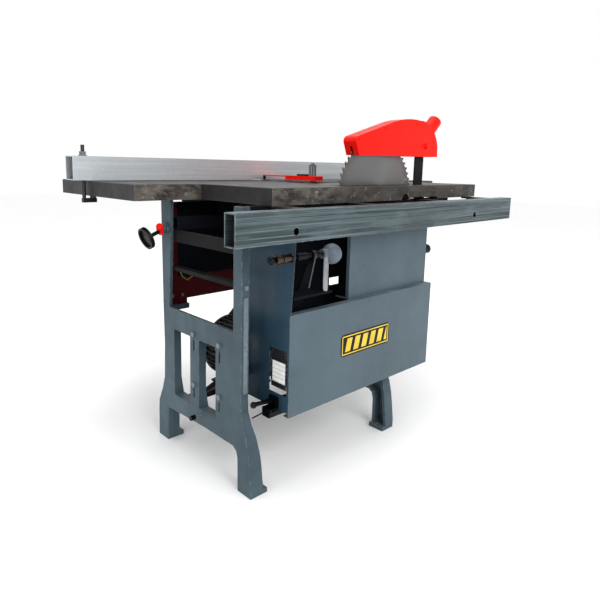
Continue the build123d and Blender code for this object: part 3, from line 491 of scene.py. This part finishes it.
SOFT_EDGES = {
    "left_end_frame": 0.0012, "right_end_frame": 0.0012, "guard_front_half": 0.0020,
    "guard_rear_half": 0.0020, "saw_table": 0.0010, "infeed_table": 0.0010, "outfeed_table": 0.0010,
    "front_rail": 0.0010, "fence_tube": 0.0010, "fasteners": 0.0006, "bridge_guard": 0.0015,
    "cover_knob": 0.0010, "handwheel": 0.0010, "splitter": 0.0006,
}


SHARP_ANGLE = math.radians(40)


def finish_nodes():
    for name, material in FINISH.items():
        mesh = NODES[name].data
        mesh.materials.clear()
        mesh.materials.append(material)


def soften_edges():
    for name, width in SOFT_EDGES.items():
        bevel = NODES[name].modifiers.new("soft_edge", "BEVEL")
        bevel.width = width
        bevel.segments = 2
        bevel.limit_method = "ANGLE"
        bevel.angle_limit = SHARP_ANGLE
        bevel.harden_normals = False


finish_nodes()
soften_edges()


# ------------------------------------------------------------------ detail pieces

BLADE_TEETH = 60
TIP_PROUD = 0.0004
TIP_OUTLINE = ((-0.0085, -0.06), (0.0001, -0.012), (-0.0010, 0.14), (-0.0085, 0.08))
CAP_SET_IN = (0.025, 0.014)
CAP_PROFILE = ((0.0102, -0.0005), (0.0102, 0.0050), (0.0094, 0.0078), (0.0070, 0.0094), (0, 0.0100))
LIP_OUTLINE = ((0.0062, 0.0276), (0.0172, 0.0002), (0.0202, 0.0002), (0.0092, 0.0276))
LIP_WALL_GAP = 0.0026
LIP_BLADE_GAP = 0.005


def keep_piece(name, mesh, body, material):
    """Links a finished bmesh as a piece that rides on a body."""
    data = bpy.data.meshes.new(name)
    bmesh.ops.recalc_face_normals(mesh, faces=mesh.faces)
    mesh.to_mesh(data)
    mesh.free()
    data.materials.append(material)
    piece = bpy.data.objects.new(name, data)
    bpy.context.scene.collection.objects.link(piece)
    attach(piece, body)
    return piece


def prism_y(mesh, points, start, end):
    """Adds a closed prism between two Y positions over an (x, z) outline."""
    near = [mesh.verts.new((x, start, z)) for x, z in points]
    far = [mesh.verts.new((x, end, z)) for x, z in points]
    mesh.faces.new(near)
    mesh.faces.new(list(reversed(far)))
    for i in range(len(points)):
        j = (i + 1) % len(points)
        mesh.faces.new((near[j], near[i], far[i], far[j]))


def lathe_y(mesh, centre, profile, steps=32):
    """Adds a turned form about a line along Y from (radius, y) pairs; a radius of 0 closes it."""
    rings = []
    for radius, y in profile:
        if radius == 0:
            rings.append([mesh.verts.new((centre[0], y, centre[1]))])
            continue
        ring = []
        for i in range(steps):
            angle = 2 * math.pi * i / steps
            x, z = centre[0] + radius * math.cos(angle), centre[1] + radius * math.sin(angle)
            ring.append(mesh.verts.new((x, y, z)))
        rings.append(ring)
    for a, b in zip(rings, rings[1:]):
        for i in range(steps):
            j = (i + 1) % steps
            corners = [a[i % len(a)], a[j % len(a)], b[j % len(b)], b[i % len(b)]]
            mesh.faces.new(list(dict.fromkeys(corners)))


def make_carbide_tips():
    """A brazed tip on every tooth, a little wider than the plate."""
    half = (high("saw_blade").y - low("saw_blade").y) / 2 + TIP_PROUD
    step = 2 * math.pi / BLADE_TEETH
    mesh = bmesh.new()
    for tooth in range(BLADE_TEETH):
        points = []
        for out, part in TIP_OUTLINE:
            angle = (tooth + part) * step
            reach = BLADE_RADIUS + out
            x, z = reach * math.cos(angle), reach * math.sin(angle)
            points.append((BLADE_AT.x + x, BLADE_AT.z + z))
        prism_y(mesh, points, BLADE_AT.y - half, BLADE_AT.y + half)
    keep_piece("carbide_tips", mesh, "arbor", CARBIDE)


def make_pivot_cap():
    """A domed red cap over the hood's pivot bolt, on the front side."""
    corner = high("splitter")
    at = (corner.x - CAP_SET_IN[0], corner.z - CAP_SET_IN[1])
    face = low("guard_front_half").y
    mesh = bmesh.new()
    lathe_y(mesh, at, [(radius, face - out) for radius, out in CAP_PROFILE])
    cap = keep_piece("pivot_cap", mesh, "hood", RED_PAINT)
    for polygon in cap.data.polygons:
        polygon.use_smooth = True


def make_nose_lips():
    """Folded-in sheet at the hood's nose, on each side of the blade's path."""
    start, end = low("guard_front_half"), high("guard_rear_half")
    outline = [(start.x + x, start.z + z) for x, z in LIP_OUTLINE]
    mesh = bmesh.new()
    prism_y(mesh, outline, start.y + LIP_WALL_GAP, BLADE_AT.y - LIP_BLADE_GAP)
    prism_y(mesh, outline, BLADE_AT.y + LIP_BLADE_GAP, end.y - LIP_WALL_GAP)
    keep_piece("nose_lips", mesh, "hood", RED_PAINT)


make_carbide_tips()
make_pivot_cap()
make_nose_lips()

# ------------------------------------------------------------------ light and floor

FLOOR_HALF = 14.0
LIGHTS = (
    ("key", (-0.7, -3.6, 2.6), (0, 0, 0.5), (2.4, 1.8), 66),
    ("side", (-3.6, -0.4, 2.0), (0, 0, 0.6), (1.6, 1.6), 12),
    ("top", (0.2, 0.2, 3.4), (0, 0, 0.8), (2.5, 2.5), 60),
)


def make_light(name, at, aim, size, power):
    data = bpy.data.lights.new(name, "AREA")
    data.shape = "RECTANGLE"
    data.size, data.size_y = size
    data.energy = power
    lamp = bpy.data.objects.new(name, data)
    bpy.context.scene.collection.objects.link(lamp)
    lamp.location = at
    way = Vector(aim) - Vector(at)
    lamp.rotation_euler = way.to_track_quat("-Z", "Y").to_euler()


def make_floor():
    s = Shade("studio_floor", rough=0.9)
    s.colour(s.mix(s.remap(s.noise(3, 3), 0.3, 0.7), (0.96, 0.96, 0.96), (0.98, 0.98, 0.98)))
    mesh = bpy.data.meshes.new("studio_floor")
    half = FLOOR_HALF
    corners = [(-half, -half, 0), (half, -half, 0), (half, half, 0), (-half, half, 0)]
    mesh.from_pydata(corners, [], [(0, 1, 2, 3)])
    mesh.materials.append(s.material)
    floor = bpy.data.objects.new("studio_floor", mesh)
    bpy.context.scene.collection.objects.link(floor)


def make_studio():
    bpy.context.scene.view_settings.view_transform = "Standard"
    world = bpy.data.worlds.new("studio")
    bpy.context.scene.world = world
    world.use_nodes = True
    back = world.node_tree.nodes["Background"]
    back.inputs["Color"].default_value = (1, 1, 1, 1)
    back.inputs["Strength"].default_value = 1.0
    for light in LIGHTS:
        make_light(*light)


make_floor()
make_studio()
